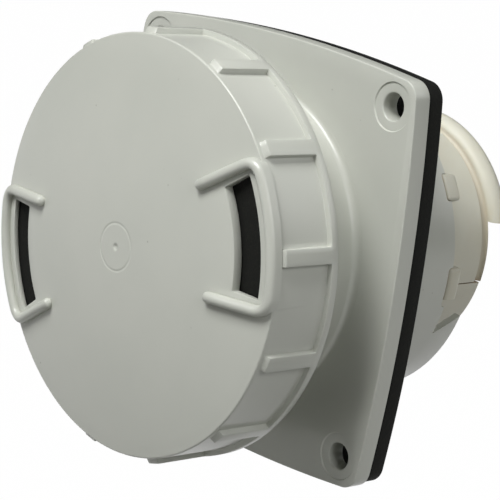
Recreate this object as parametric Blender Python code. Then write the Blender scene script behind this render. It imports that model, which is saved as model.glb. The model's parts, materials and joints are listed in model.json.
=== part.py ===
"""Panel inlet for a generator: a square flange, pins in a round collar, and a bayonet cap.

Metres, +Z up. The inlet looks along -Y. The panel's outer face is the plane y = 0,
and the centre of the panel's cut-out is the origin. The plug axis is the Y axis.
"""
import math

import bmesh
import bpy

MM = 0.001

# general fits and mesh fineness
GAP = 0.3 * MM                  # between pieces that rest on each other
SUNK = 0.8 * MM                 # how deep a joined shape reaches into its carrier
RING_SEGMENTS = 54              # facets round the large turned pieces
DISC_SEGMENTS = 36              # facets round the hidden discs
ROD_SEGMENTS = 12               # facets round pins and holes
SCREW_SEGMENTS = 10             # facets round screws

# terminals and pins, from the middle outwards
PIN_COUNT = 5
PIN_CIRCLE_RADIUS = 22.0 * MM
PHASE_PIN_RADIUS = 4.0 * MM
EARTH_PIN_RADIUS = 5.0 * MM
PILOT_PIN_RADIUS = 3.0 * MM
PIN_REACH = 34.0 * MM           # in front of the carrier's nose
PILOT_PIN_REACH = 24.0 * MM
TERMINAL_RADIUS = 6.5 * MM
TERMINAL_LENGTH = 26.0 * MM     # behind the carrier
SHOULDER_STEP = 1.5 * MM        # how far a pin's shoulder stands out past its terminal
SHOULDER_LENGTH = 4.7 * MM
WIRE_BORE_RADIUS = 4.2 * MM
WIRE_BORE_DEPTH = 20.0 * MM
PILOT_TERMINAL_RADIUS = 3.9 * MM
PILOT_TERMINAL_LENGTH = 15.0 * MM
PILOT_WIRE_BORE_RADIUS = 1.9 * MM
PILOT_WIRE_BORE_DEPTH = 9.0 * MM
CLAMP_SCREW_RADIUS = 2.2 * MM
CLAMP_SCREW_LENGTH = 4.0 * MM
CLAMP_SCREW_PROUD = 0.7 * MM    # how far a clamp screw stands out of its terminal
CLAMP_SCREW_END = 5.5 * MM      # from the terminal's rear end to the first clamp screw
CLAMP_SCREW_PITCH = 8.0 * MM
PILOT_SCREW_RADIUS = 1.3 * MM
PILOT_SCREW_LENGTH = 2.2 * MM
SLOT_WIDTH = 0.9 * MM
SLOT_DEPTH = 0.8 * MM

# contact carrier and its retainer
NOSE_MARGIN = 1.2 * MM          # from the pins' shoulders to the carrier's nose wall
NOSE_REACH = 2.0 * MM           # in front of the web
CARRIER_THICKNESS = 5.1 * MM
CARRIER_SEAL_THICKNESS = 1.5 * MM
CARRIER_SEAL_WIDTH = 2.0 * MM
RETAINER_THICKNESS = 3.0 * MM
RETAINER_EDGE = 1.7 * MM        # past the terminals
RETAINER_SCREW_CIRCLE_RADIUS = 10.5 * MM
RETAINER_SCREW_DEPTH = 6.0 * MM
CARRIER_SCREW_COUNT = 3
CARRIER_SCREW_EDGE = 3.4 * MM   # from the web's inner edge to the screw's axis
SCREW_RADIUS = 1.9 * MM
SCREW_HEAD_RADIUS = 3.0 * MM
SCREW_HEAD_HEIGHT = 2.4 * MM

# housing: collar, web, flange, skirt and chin
COLLAR_EDGE_MARGIN = 2.6 * MM   # from the carrier screws' axes to the collar's bore
COLLAR_WALL = 3.5 * MM
COLLAR_LENGTH = 34.3 * MM       # in front of the flange
COLLAR_DEPTH = 44.0 * MM        # from the collar's edge to the web
WEB_THICKNESS = 4.0 * MM
KEYWAY_WIDTH = 9.0 * MM
KEYWAY_DEPTH = 1.8 * MM
KEYWAY_LENGTH = 36.0 * MM
BOSS_STEP = 4.6 * MM            # the collar's foot, past the collar
BOSS_HEIGHT = 7.6 * MM
BOSS_ROUND = 1.6 * MM
BOSS_FILLET = 4.5 * MM
FLANGE_THICKNESS = 5.2 * MM
FLANGE_BORDER = 11.4 * MM       # past the skirt, at the middle of a side
FLANGE_BOW = 3.2 * MM           # how far a side swells out past its ends
FLANGE_CORNER_RADIUS = 5.0 * MM
FLANGE_EDGE_ROUND = 0.7 * MM
BOLT_HOLE_RADIUS = 3.4 * MM
BOLT_HOLE_INSET = 10.0 * MM     # from the middle line of a side
BOLT_SEAT_RADIUS = 5.9 * MM
BOLT_SEAT_DEPTH = 0.4 * MM
LEDGE_WIDTH = 3.4 * MM          # from the collar's bore to the skirt's bore
SKIRT_WALL = 2.7 * MM
SKIRT_LENGTH = 34.0 * MM        # behind the flange's front
CHIN_LENGTH = 9.0 * MM          # behind the skirt's rim
CHIN_STEP = 0.5 * MM
CHIN_TOP = -17.6 * MM           # height of the chin's ends at the skirt's rim
CHIN_RISE = 5.3 * MM            # how much higher the chin's ends are at its rear
GASKET_THICKNESS = 3.7 * MM
GASKET_INSET = 0.4 * MM
GASKET_FIT = 0.5 * MM

# bayonet: lugs on the collar, cams in the cap
BAYONET_COUNT = 2
BAYONET_ANGLE = math.radians(17.7)
BAYONET_HALF_ANGLE = math.radians(16.0)
BAYONET_LEAD = 3.2 * MM         # advance for one radian
LUG_HEIGHT = 6.4 * MM
LUG_THICKNESS = 3.2 * MM
LUG_SETBACK = 5.2 * MM          # from the collar's edge
CAM_THICKNESS = 3.2 * MM
CAM_CLEARANCE = 0.7 * MM

# cap
CAP_ROOM = 2.5 * MM             # from the lugs to the cap's bore
CAP_WALL = 2.8 * MM
CAP_DISC = 2.6 * MM
CAP_DEPTH = 19.9 * MM
CAP_EDGE_ROUND = 1.2 * MM
LIP_THICKNESS = 2.4 * MM
RIB_COUNT = 13
RIB_FIRST_ANGLE = math.radians(12.9)
RIB_HEIGHT = 2.1 * MM
RIB_WIDTH = 4.6 * MM
RIB_SETBACK = 1.8 * MM          # from the cap's face
RIB_ROUND = 0.5 * MM
SEAL_THICKNESS = 3.0 * MM
SEAL_INNER_STEP = 1.0 * MM      # from the collar's bore out to the seal's inner edge
WINDOW_HALF_ANGLE = math.radians(17.4)
WINDOW_INSET = 2.1 * MM         # from the cap's bore to the window's outer edge
WINDOW_WIDTH = 6.5 * MM
LOOP_WIDTH = 4.4 * MM
LOOP_HEIGHT = 3.1 * MM
LOOP_INSET = 0.7 * MM           # from the cap's wall in to the loop's middle line
LOOP_ARM_LENGTH = 18.0 * MM
LOOP_ARM_SPREAD = math.radians(14.8)
LOOP_CORNER = 4.0 * MM
LOOP_MARGIN = math.radians(2.8)  # past the window's ends
LOOP_FOOT_DEPTH = 1.8 * MM

# terminal cover, two half shells
COVER_ROOM = 1.3 * MM           # from the terminals to the shell
COVER_WALL = 2.7 * MM
COVER_BASE_WALL = 2.3 * MM
COVER_SHOULDER = 1.2 * MM       # behind the skirt's rim
COVER_FLARE = 7.5 * MM
COVER_LENGTH = 26.0 * MM        # behind the skirt's rim
END_WALL_THICKNESS = 2.5 * MM
RIM_LENGTH = 6.5 * MM
RIM_STEP = 2.5 * MM
RIM_CUT_HEIGHT = 10.0 * MM
GROOVE_DEPTH = 0.9 * MM
GROOVE_WIDTH = 2.6 * MM
PORT_RADIUS = 5.0 * MM
PILOT_PORT_RADIUS = 3.0 * MM
TAB_LENGTH = 3.6 * MM
TAB_WIDTH = 7.0 * MM
TAB_THICKNESS = 3.0 * MM

# radii that follow from the sizes above
SHOULDER_RADIUS = TERMINAL_RADIUS + SHOULDER_STEP
NOSE_RADIUS = PIN_CIRCLE_RADIUS + SHOULDER_RADIUS + NOSE_MARGIN
WEB_RADIUS = NOSE_RADIUS + GAP
CARRIER_SCREW_CIRCLE_RADIUS = WEB_RADIUS + CARRIER_SCREW_EDGE
COLLAR_BORE_RADIUS = CARRIER_SCREW_CIRCLE_RADIUS + COLLAR_EDGE_MARGIN
COLLAR_RADIUS = COLLAR_BORE_RADIUS + COLLAR_WALL
BOSS_RADIUS = COLLAR_RADIUS + BOSS_STEP
FOOT_RADIUS = BOSS_RADIUS + BOSS_FILLET
SKIRT_BORE_RADIUS = COLLAR_BORE_RADIUS + LEDGE_WIDTH
SKIRT_RADIUS = SKIRT_BORE_RADIUS + SKIRT_WALL
CARRIER_RADIUS = SKIRT_BORE_RADIUS - GAP
LUG_RADIUS = COLLAR_RADIUS + LUG_HEIGHT
CAP_BORE_RADIUS = LUG_RADIUS + CAP_ROOM
CAP_RADIUS = CAP_BORE_RADIUS + CAP_WALL
LIP_RADIUS = CAP_RADIUS + RIB_HEIGHT
COVER_BORE_RADIUS = PIN_CIRCLE_RADIUS + TERMINAL_RADIUS + COVER_ROOM
COVER_RADIUS = COVER_BORE_RADIUS + COVER_WALL
FLANGE_WIDTH = 2 * (SKIRT_RADIUS + FLANGE_BORDER)
BOLT_OFFSET = FLANGE_WIDTH / 2 - BOLT_HOLE_INSET

# places along the plug axis, front to back
FLANGE_BACK = -(GASKET_THICKNESS + GAP)
FLANGE_FRONT = FLANGE_BACK - FLANGE_THICKNESS
SKIRT_FRONT = FLANGE_BACK + GAP
COLLAR_EDGE = FLANGE_FRONT - COLLAR_LENGTH
LUG_BACK = COLLAR_EDGE + LUG_SETBACK + LUG_THICKNESS
CAM_FRONT = LUG_BACK + GAP
SEAL_BACK = COLLAR_EDGE - GAP
SEAL_FRONT = SEAL_BACK - SEAL_THICKNESS
CAP_FLOOR = SEAL_FRONT - GAP
CAP_FACE = CAP_FLOOR - CAP_DISC
CAP_BACK = CAP_FACE + CAP_DEPTH
WEB_FRONT = COLLAR_EDGE + COLLAR_DEPTH
WEB_BACK = WEB_FRONT + WEB_THICKNESS
NOSE_FRONT = WEB_FRONT - NOSE_REACH
CARRIER_SEAL_FRONT = WEB_BACK + GAP
CARRIER_FRONT = CARRIER_SEAL_FRONT + CARRIER_SEAL_THICKNESS + GAP
CARRIER_BACK = CARRIER_FRONT + CARRIER_THICKNESS
RETAINER_FRONT = CARRIER_BACK + GAP
RETAINER_BACK = RETAINER_FRONT + RETAINER_THICKNESS
TERMINAL_BACK = CARRIER_BACK + TERMINAL_LENGTH
SKIRT_BACK = FLANGE_FRONT + SKIRT_LENGTH
CHIN_BACK = SKIRT_BACK + CHIN_LENGTH
COVER_BACK = SKIRT_BACK + COVER_LENGTH
RIM_BACK = COVER_BACK + RIM_LENGTH

# the pins stand on a circle with the earth pin at six o'clock
EARTH_ANGLE = -math.pi / 2
PIN_NAMES = ("earth_pin", "phase_pin_1", "phase_pin_2", "phase_pin_3", "neutral_pin")
SEAM_HEIGHT = PIN_CIRCLE_RADIUS * math.sin(EARTH_ANGLE + 2 * math.pi / PIN_COUNT)


def polar(radius, angle):
    """A point in the plane across the plug axis, as x and z."""
    return radius * math.cos(angle), radius * math.sin(angle)


def arc(centre, radius, start, end, steps):
    """Points of an arc round a centre, from one angle in degrees to another."""
    points = []
    for step in range(steps + 1):
        angle = math.radians(start + (end - start) * step / steps)
        points.append((centre[0] + radius * math.cos(angle), centre[1] + radius * math.sin(angle)))
    return points


def link(name, bm, smooth_angle=40.0):
    """Turn a bmesh into an object with its faces pointing out."""
    bm.normal_update()
    bmesh.ops.recalc_face_normals(bm, faces=bm.faces)
    mesh = bpy.data.meshes.new(name)
    bm.to_mesh(mesh)
    bm.free()
    mesh.shade_smooth()
    mesh.set_sharp_from_angle(angle=math.radians(smooth_angle))
    obj = bpy.data.objects.new(name, mesh)
    bpy.context.collection.objects.link(obj)
    return obj


def turned(name, outline, segments):
    """Revolve an outline of (radius, y) points round the Y axis."""
    bm = bmesh.new()
    verts = [bm.verts.new((radius, y, 0.0)) for radius, y in outline]
    edges = []
    for one, two in zip(verts, verts[1:] + verts[:1]):
        if one.co.x > 0 or two.co.x > 0:
            edges.append(bm.edges.new((one, two)))
    bmesh.ops.spin(bm, geom=verts + edges, cent=(0, 0, 0), axis=(0, 1, 0),
                   angle=2 * math.pi, steps=segments, use_merge=True)
    bmesh.ops.remove_doubles(bm, verts=bm.verts, dist=0.00001 * MM)
    return link(name, bm)


def prism(name, outline, start, length, axis="Y"):
    """Extrude an outline along Y, or along X when its points are (y, z)."""
    bm = bmesh.new()
    if axis == "Y":
        verts = [bm.verts.new((u, start, v)) for u, v in outline]
        offset = (0, length, 0)
    else:
        verts = [bm.verts.new((start, u, v)) for u, v in outline]
        offset = (length, 0, 0)
    face = bm.faces.new(verts)
    grown = bmesh.ops.extrude_face_region(bm, geom=[face])
    moved = [item for item in grown["geom"] if isinstance(item, bmesh.types.BMVert)]
    bmesh.ops.translate(bm, verts=moved, vec=offset)
    return link(name, bm)


def rectangle(left, right, bottom, top):
    return [(left, bottom), (right, bottom), (right, top), (left, top)]


def rods(name, places, radius, start, end, segments):
    """Round rods along Y at (x, z) places, as one cutter."""
    bm = bmesh.new()
    for x, z in places:
        made = bmesh.ops.create_cone(bm, cap_ends=True, segments=segments, radius1=radius,
                                     radius2=radius, depth=end - start)
        for vert in made["verts"]:
            along, across, up = vert.co.z, vert.co.x, vert.co.y
            vert.co = (x + across, (start + end) / 2 + along, z + up)
    return link(name, bm)


def ring_sector(bm, inner, outer, front, back, middle, half_angle, lead, steps):
    """A block that follows the ring, and climbs towards the front by lead for each radian."""
    loops = []
    for step in range(steps + 1):
        turn = half_angle * (2 * step / steps - 1)
        loop = []
        for radius, y in ((inner, front), (outer, front), (outer, back), (inner, back)):
            x, z = polar(radius, middle + turn)
            loop.append(bm.verts.new((x, y - lead * turn, z)))
        loops.append(loop)
    for one, two in zip(loops, loops[1:]):
        for side in range(4):
            after = (side + 1) % 4
            bm.faces.new((one[side], one[after], two[after], two[side]))
    bm.faces.new(loops[0])
    bm.faces.new(loops[-1])


def combine(obj, tool, operation):
    """Join or cut with a tool that the finished model leaves out."""
    tool.hide_render = True
    tool.display_type = "WIRE"
    modifier = obj.modifiers.new(tool.name, "BOOLEAN")
    modifier.operation = operation
    modifier.solver = "EXACT"
    modifier.object = tool


def material(name, colour, roughness, metallic=0.0):
    made = bpy.data.materials.new(name)
    made.use_nodes = True
    shader = made.node_tree.nodes["Principled BSDF"]
    shader.inputs["Base Color"].default_value = (*colour, 1.0)
    shader.inputs["Roughness"].default_value = roughness
    shader.inputs["Metallic"].default_value = metallic
    return made


def finish(obj, look):
    obj.data.materials.clear()
    obj.data.materials.append(look)
    return obj


def bowed_square(width, bow, corner_radius, side_steps=12, corner_steps=5):
    """Outline of a square with swelling sides and round corners, as (x, z) points."""
    half = width / 2
    side_radius = ((half - bow) ** 2 + bow ** 2) / (2 * bow)
    side_centre = half - side_radius
    reach = side_radius - corner_radius
    corner_centre = (side_centre + math.sqrt(2 * reach ** 2 - side_centre ** 2)) / 2
    tangent = math.degrees(math.atan2(corner_centre, corner_centre - side_centre))
    side = arc((side_centre, 0.0), side_radius, -tangent, tangent, side_steps)
    corner = arc((corner_centre, corner_centre), corner_radius, tangent, 90 - tangent, corner_steps)
    quarter = side + corner[1:-1]
    outline = []
    for turn in range(4):
        c, s = round(math.cos(turn * math.pi / 2)), round(math.sin(turn * math.pi / 2))
        outline += [(x * c - z * s, x * s + z * c) for x, z in quarter]
    return outline


def bolt_places():
    return [(x * BOLT_OFFSET, z * BOLT_OFFSET) for x in (-1, 1) for z in (-1, 1)]


def carrier_screw_places():
    places = []
    for index in range(CARRIER_SCREW_COUNT):
        angle = math.pi / 2 + 2 * math.pi * index / CARRIER_SCREW_COUNT
        places.append(polar(CARRIER_SCREW_CIRCLE_RADIUS, angle))
    return places


def retainer_screw_places():
    return [(0.0, RETAINER_SCREW_CIRCLE_RADIUS), (0.0, -RETAINER_SCREW_CIRCLE_RADIUS)]


def pin_angle(index):
    return EARTH_ANGLE + 2 * math.pi * index / PIN_COUNT


def pin_radius(index):
    return EARTH_PIN_RADIUS if index == 0 else PHASE_PIN_RADIUS


def make_flange_plate(look):
    """The flat square part of the flange, with its front edge rounded."""
    outline = bowed_square(FLANGE_WIDTH, FLANGE_BOW, FLANGE_CORNER_RADIUS)
    plate = prism("flange_plate", outline, FLANGE_FRONT, FLANGE_THICKNESS)
    bm = bmesh.new()
    bm.from_mesh(plate.data)
    front = [edge for edge in bm.edges
             if all(abs(vert.co.y - FLANGE_FRONT) < GAP / 10 for vert in edge.verts)]
    bmesh.ops.bevel(bm, geom=front, offset=FLANGE_EDGE_ROUND, segments=2, profile=0.5,
                    affect="EDGES")
    bm.to_mesh(plate.data)
    bm.free()
    plate.data.shade_smooth()
    plate.data.set_sharp_from_angle(angle=math.radians(40.0))
    opening = rods("flange_opening", [(0.0, 0.0)], FOOT_RADIUS + GAP,
                   FLANGE_FRONT - SUNK, FLANGE_BACK + SUNK, RING_SEGMENTS)
    combine(plate, opening, "DIFFERENCE")
    holes = rods("bolt_holes", bolt_places(), BOLT_HOLE_RADIUS, FLANGE_FRONT - SUNK,
                 FLANGE_BACK + SUNK, ROD_SEGMENTS)
    combine(plate, holes, "DIFFERENCE")
    seats = rods("bolt_seats", bolt_places(), BOLT_SEAT_RADIUS, FLANGE_FRONT - SUNK,
                 FLANGE_FRONT + BOLT_SEAT_DEPTH, 2 * ROD_SEGMENTS)
    combine(plate, seats, "DIFFERENCE")
    return finish(plate, look)


def make_flange_housing(look):
    """The collar with its lugs, and the foot that it stands on in the middle of the flange."""
    foot_top = FLANGE_FRONT - BOSS_HEIGHT
    edge_round = COLLAR_WALL / 4
    outline = [(COLLAR_BORE_RADIUS, COLLAR_EDGE + edge_round)]
    outline += [(COLLAR_BORE_RADIUS + edge_round, COLLAR_EDGE)]
    outline += [(COLLAR_RADIUS - edge_round, COLLAR_EDGE)]
    outline += [(COLLAR_RADIUS, COLLAR_EDGE + edge_round)]
    outline += [(COLLAR_RADIUS, foot_top)]
    outline += arc((BOSS_RADIUS - BOSS_ROUND, foot_top + BOSS_ROUND), BOSS_ROUND, -90, 0, 3)
    outline += arc((FOOT_RADIUS, FLANGE_FRONT - BOSS_FILLET), BOSS_FILLET, 180, 90, 4)
    outline += [(FOOT_RADIUS, FLANGE_BACK)]
    outline += [(COLLAR_BORE_RADIUS, FLANGE_BACK)]
    housing = turned("flange_housing", outline, RING_SEGMENTS)
    bm = bmesh.new()
    for index in range(BAYONET_COUNT):
        middle = BAYONET_ANGLE + 2 * math.pi * index / BAYONET_COUNT
        ring_sector(bm, COLLAR_RADIUS - SUNK, LUG_RADIUS, LUG_BACK - LUG_THICKNESS, LUG_BACK,
                    middle, BAYONET_HALF_ANGLE, BAYONET_LEAD, 6)
    combine(housing, link("bayonet_lugs", bm), "UNION")
    keyway = rectangle(-KEYWAY_WIDTH / 2, KEYWAY_WIDTH / 2,
                       -COLLAR_BORE_RADIUS - KEYWAY_DEPTH, -COLLAR_BORE_RADIUS + COLLAR_WALL)
    combine(housing, prism("keyway", keyway, COLLAR_EDGE - SUNK, KEYWAY_LENGTH + SUNK),
            "DIFFERENCE")
    return finish(housing, look)


def make_rear_skirt(look):
    """The tube behind the flange, with the web inside it and the chin on its lower half."""
    chin_radius = SKIRT_RADIUS - CHIN_STEP
    outline = [(COLLAR_BORE_RADIUS, SKIRT_FRONT), (SKIRT_RADIUS, SKIRT_FRONT)]
    outline += [(SKIRT_RADIUS, SKIRT_BACK), (chin_radius, SKIRT_BACK + CHIN_STEP)]
    outline += [(chin_radius, CHIN_BACK), (SKIRT_BORE_RADIUS, CHIN_BACK)]
    outline += [(SKIRT_BORE_RADIUS, WEB_BACK), (WEB_RADIUS, WEB_BACK)]
    outline += [(WEB_RADIUS, WEB_FRONT), (COLLAR_BORE_RADIUS, WEB_FRONT)]
    skirt = turned("rear_skirt", outline, RING_SEGMENTS)
    above = CHIN_TOP + CHIN_RISE * (CHIN_LENGTH + SUNK) / CHIN_LENGTH
    beyond = CHIN_BACK + SUNK
    upper = [(SKIRT_BACK, CHIN_TOP), (beyond, above), (beyond, FLANGE_WIDTH),
             (SKIRT_BACK, FLANGE_WIDTH)]
    combine(skirt, prism("chin_trim", upper, -FLANGE_WIDTH, 2 * FLANGE_WIDTH, axis="X"),
            "DIFFERENCE")
    screw_holes = rods("web_screw_holes", carrier_screw_places(), SCREW_RADIUS + GAP,
                       WEB_FRONT - SUNK, WEB_BACK + SUNK, SCREW_SEGMENTS)
    combine(skirt, screw_holes, "DIFFERENCE")
    return finish(skirt, look)


def make_flange_gasket(look):
    outline = bowed_square(FLANGE_WIDTH - 2 * GASKET_INSET, FLANGE_BOW, FLANGE_CORNER_RADIUS)
    gasket = prism("flange_gasket", outline, -GASKET_THICKNESS, GASKET_THICKNESS)
    opening = rods("gasket_opening", [(0.0, 0.0)], SKIRT_RADIUS + GASKET_FIT,
                   -GASKET_THICKNESS - SUNK, SUNK, RING_SEGMENTS)
    combine(gasket, opening, "DIFFERENCE")
    holes = rods("gasket_bolt_holes", bolt_places(), BOLT_HOLE_RADIUS,
                 -GASKET_THICKNESS - SUNK, SUNK, ROD_SEGMENTS)
    combine(gasket, holes, "DIFFERENCE")
    return finish(gasket, look)


def loop_path():
    """Middle line of a handle loop that lies on the +X side, as (x, z) points."""
    bar_radius = CAP_RADIUS - LOOP_INSET
    end_angle = WINDOW_HALF_ANGLE + LOOP_MARGIN
    corner = polar(bar_radius, end_angle)
    arm_angle = math.pi + LOOP_ARM_SPREAD
    tip = (corner[0] + LOOP_ARM_LENGTH * math.cos(arm_angle),
           corner[1] + LOOP_ARM_LENGTH * math.sin(arm_angle))
    before = (corner[0] + LOOP_CORNER * math.cos(arm_angle),
              corner[1] + LOOP_CORNER * math.sin(arm_angle))
    after_angle = end_angle - LOOP_CORNER / bar_radius
    after = polar(bar_radius, after_angle)
    half = [tip]
    for step in range(5):
        t = step / 4
        weights = ((1 - t) ** 2, 2 * t * (1 - t), t ** 2)
        half.append(tuple(weights[0] * a + weights[1] * b + weights[2] * c
                          for a, b, c in zip(before, corner, after)))
    half += [polar(bar_radius, after_angle * (1 - step / 4)) for step in range(1, 4)]
    lower = [(x, -z) for x, z in reversed(half)]
    return half + [(bar_radius, 0.0)] + lower


def make_handle_loop(bm, turn):
    """Sweep a half-round section along the loop, with round tips, on the cap's face."""
    path = loop_path()
    side = LOOP_WIDTH / 2
    section = [(-side, -SUNK)] + arc((0.0, LOOP_HEIGHT - side), side, 180, 0, 6) + [(side, -SUNK)]
    stations = []
    tip_steps = 3
    for step in range(tip_steps):
        angle = math.pi / 2 * step / tip_steps
        stations.append((0, -side * (1 - math.sin(angle)) + side, max(math.sin(angle), 0.25)))
    stations += [(index, 0.0, 1.0) for index in range(1, len(path) - 1)]
    for step in reversed(range(tip_steps)):
        angle = math.pi / 2 * step / tip_steps
        stations.append((len(path) - 1, side * (1 - math.sin(angle)) - side,
                         max(math.sin(angle), 0.25)))
    loops = []
    for index, along, scale in stations:
        one = path[max(index - 1, 0)]
        two = path[min(index + 1, len(path) - 1)]
        length = math.dist(one, two)
        forward = ((two[0] - one[0]) / length, (two[1] - one[1]) / length)
        middle = (path[index][0] + forward[0] * along, path[index][1] + forward[1] * along)
        loop = []
        for across, height in section:
            raised = height if height < 0 else height * (0.4 + 0.6 * scale)
            x = middle[0] - forward[1] * across * scale
            z = middle[1] + forward[0] * across * scale
            turned_x = x * math.cos(turn) - z * math.sin(turn)
            turned_z = x * math.sin(turn) + z * math.cos(turn)
            loop.append(bm.verts.new((turned_x, CAP_FACE - raised, turned_z)))
        loops.append(loop)
    for one, two in zip(loops, loops[1:]):
        for edge in range(len(section)):
            after = (edge + 1) % len(section)
            bm.faces.new((one[edge], one[after], two[after], two[edge]))
    bm.faces.new(loops[0])
    bm.faces.new(loops[-1])


def make_ribs():
    """Grip ribs round the cap's wall, from near its face to its lip."""
    bm = bmesh.new()
    start = CAP_FACE + RIB_SETBACK
    length = CAP_BACK - LIP_THICKNESS / 2 - start
    for index in range(RIB_COUNT):
        angle = RIB_FIRST_ANGLE + 2 * math.pi * index / RIB_COUNT
        made = bmesh.ops.create_cube(bm, size=1.0)
        depth = RIB_HEIGHT + SUNK
        middle = LIP_RADIUS - RIB_ROUND / 4 - depth / 2
        for vert in made["verts"]:
            radial = middle + vert.co.x * depth
            across = vert.co.z * RIB_WIDTH
            y = start + (vert.co.y + 0.5) * length
            vert.co = (radial * math.cos(angle) - across * math.sin(angle), y,
                       radial * math.sin(angle) + across * math.cos(angle))
    outer = []
    for edge in bm.edges:
        radii = [math.hypot(vert.co.x, vert.co.z) for vert in edge.verts]
        back = any(vert.co.y > start + length - GAP for vert in edge.verts)
        front = all(vert.co.y < start + GAP for vert in edge.verts)
        if min(radii) > CAP_RADIUS and (front or not back or
                                        abs(edge.verts[0].co.y - edge.verts[1].co.y) > GAP):
            outer.append(edge)
    bmesh.ops.bevel(bm, geom=outer, offset=RIB_ROUND, segments=2, profile=0.5, affect="EDGES")
    return link("grip_ribs", bm)


def make_protective_cap(look):
    edge = CAP_EDGE_ROUND
    lip_front = CAP_BACK - LIP_THICKNESS
    lip_round = LIP_THICKNESS / 6
    outline = [(0.0, CAP_FACE)]
    outline += arc((CAP_RADIUS - edge, CAP_FACE + edge), edge, -90, 0, 3)
    outline += [(CAP_RADIUS, lip_front)]
    outline += [(LIP_RADIUS - lip_round, lip_front)]
    outline += [(LIP_RADIUS, lip_front + lip_round)]
    outline += [(LIP_RADIUS, CAP_BACK - lip_round)]
    outline += [(LIP_RADIUS - lip_round, CAP_BACK)]
    outline += [(CAP_BORE_RADIUS, CAP_BACK)]
    outline += [(CAP_BORE_RADIUS, CAP_FLOOR)]
    outline += [(0.0, CAP_FLOOR)]
    cap = turned("protective_cap", outline, RING_SEGMENTS)
    combine(cap, make_ribs(), "UNION")
    feet = bmesh.new()
    loops = bmesh.new()
    windows = bmesh.new()
    cams = bmesh.new()
    window_outer = CAP_BORE_RADIUS - WINDOW_INSET
    for index in range(BAYONET_COUNT):
        middle = BAYONET_ANGLE + 2 * math.pi * index / BAYONET_COUNT
        ring_sector(feet, CAP_RADIUS - CAP_WALL / 2, CAP_RADIUS - LOOP_INSET + LOOP_WIDTH / 2 - GAP,
                    CAP_FACE - SUNK, CAP_FACE + LOOP_FOOT_DEPTH, middle,
                    WINDOW_HALF_ANGLE + LOOP_MARGIN, 0.0, 8)
        make_handle_loop(loops, middle)
        ring_sector(windows, window_outer - WINDOW_WIDTH, window_outer, CAP_FACE - SUNK,
                    CAP_FLOOR + SUNK, middle, WINDOW_HALF_ANGLE, 0.0, 8)
        ring_sector(cams, COLLAR_RADIUS + CAM_CLEARANCE, CAP_BORE_RADIUS + CAP_WALL / 2,
                    CAM_FRONT, CAM_FRONT + CAM_THICKNESS, middle, BAYONET_HALF_ANGLE,
                    BAYONET_LEAD, 6)
    combine(cap, link("loop_feet", feet), "UNION")
    combine(cap, link("handle_loops", loops), "UNION")
    combine(cap, link("bayonet_cams", cams), "UNION")
    combine(cap, link("cap_windows", windows), "DIFFERENCE")
    return finish(cap, look)


def washer(name, inner, outer, front, back, segments, look):
    ring = turned(name, [(inner, front), (outer, front), (outer, back), (inner, back)], segments)
    return finish(ring, look)


def pin_holes(name, extra, front, back, radius_of):
    """One rod for each pin, wider than what passes through it by extra."""
    bm = bmesh.new()
    for index in range(PIN_COUNT):
        x, z = polar(PIN_CIRCLE_RADIUS, pin_angle(index))
        radius = radius_of(index) + extra
        made = bmesh.ops.create_cone(bm, cap_ends=True, segments=ROD_SEGMENTS, radius1=radius,
                                     radius2=radius, depth=back - front)
        for vert in made["verts"]:
            along, across, up = vert.co.z, vert.co.x, vert.co.y
            vert.co = (x + across, (front + back) / 2 + along, z + up)
    return link(name, bm)


def make_contact_carrier(look):
    """Insulating disc that holds the pins, with a nose that fills the web."""
    outline = [(0.0, NOSE_FRONT), (NOSE_RADIUS, NOSE_FRONT), (NOSE_RADIUS, CARRIER_FRONT),
               (CARRIER_RADIUS, CARRIER_FRONT), (CARRIER_RADIUS, CARRIER_BACK),
               (0.0, CARRIER_BACK)]
    carrier = turned("contact_carrier", outline, DISC_SEGMENTS)
    seat = CARRIER_BACK - SHOULDER_LENGTH - GAP
    combine(carrier, pin_holes("carrier_pin_holes", GAP, NOSE_FRONT - SUNK, seat + SUNK,
                               pin_radius), "DIFFERENCE")
    combine(carrier, pin_holes("carrier_shoulder_seats", GAP, seat, CARRIER_BACK + SUNK,
                               lambda index: SHOULDER_RADIUS), "DIFFERENCE")
    pilot = rods("carrier_pilot_hole", [(0.0, 0.0)], PILOT_PIN_RADIUS + GAP,
                 NOSE_FRONT - SUNK, seat + SUNK, ROD_SEGMENTS)
    combine(carrier, pilot, "DIFFERENCE")
    pilot_seat = rods("carrier_pilot_seat", [(0.0, 0.0)],
                      PILOT_TERMINAL_RADIUS + SHOULDER_STEP + GAP, seat, CARRIER_BACK + SUNK,
                      ROD_SEGMENTS)
    combine(carrier, pilot_seat, "DIFFERENCE")
    through = rods("carrier_screw_holes", carrier_screw_places(), SCREW_RADIUS + GAP,
                   CARRIER_FRONT - SUNK, CARRIER_BACK + SUNK, SCREW_SEGMENTS)
    combine(carrier, through, "DIFFERENCE")
    blind = rods("retainer_screw_bores", retainer_screw_places(), SCREW_RADIUS + GAP,
                 CARRIER_BACK - RETAINER_SCREW_DEPTH - GAP, CARRIER_BACK + SUNK, SCREW_SEGMENTS)
    combine(carrier, blind, "DIFFERENCE")
    return finish(carrier, look)


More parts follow.
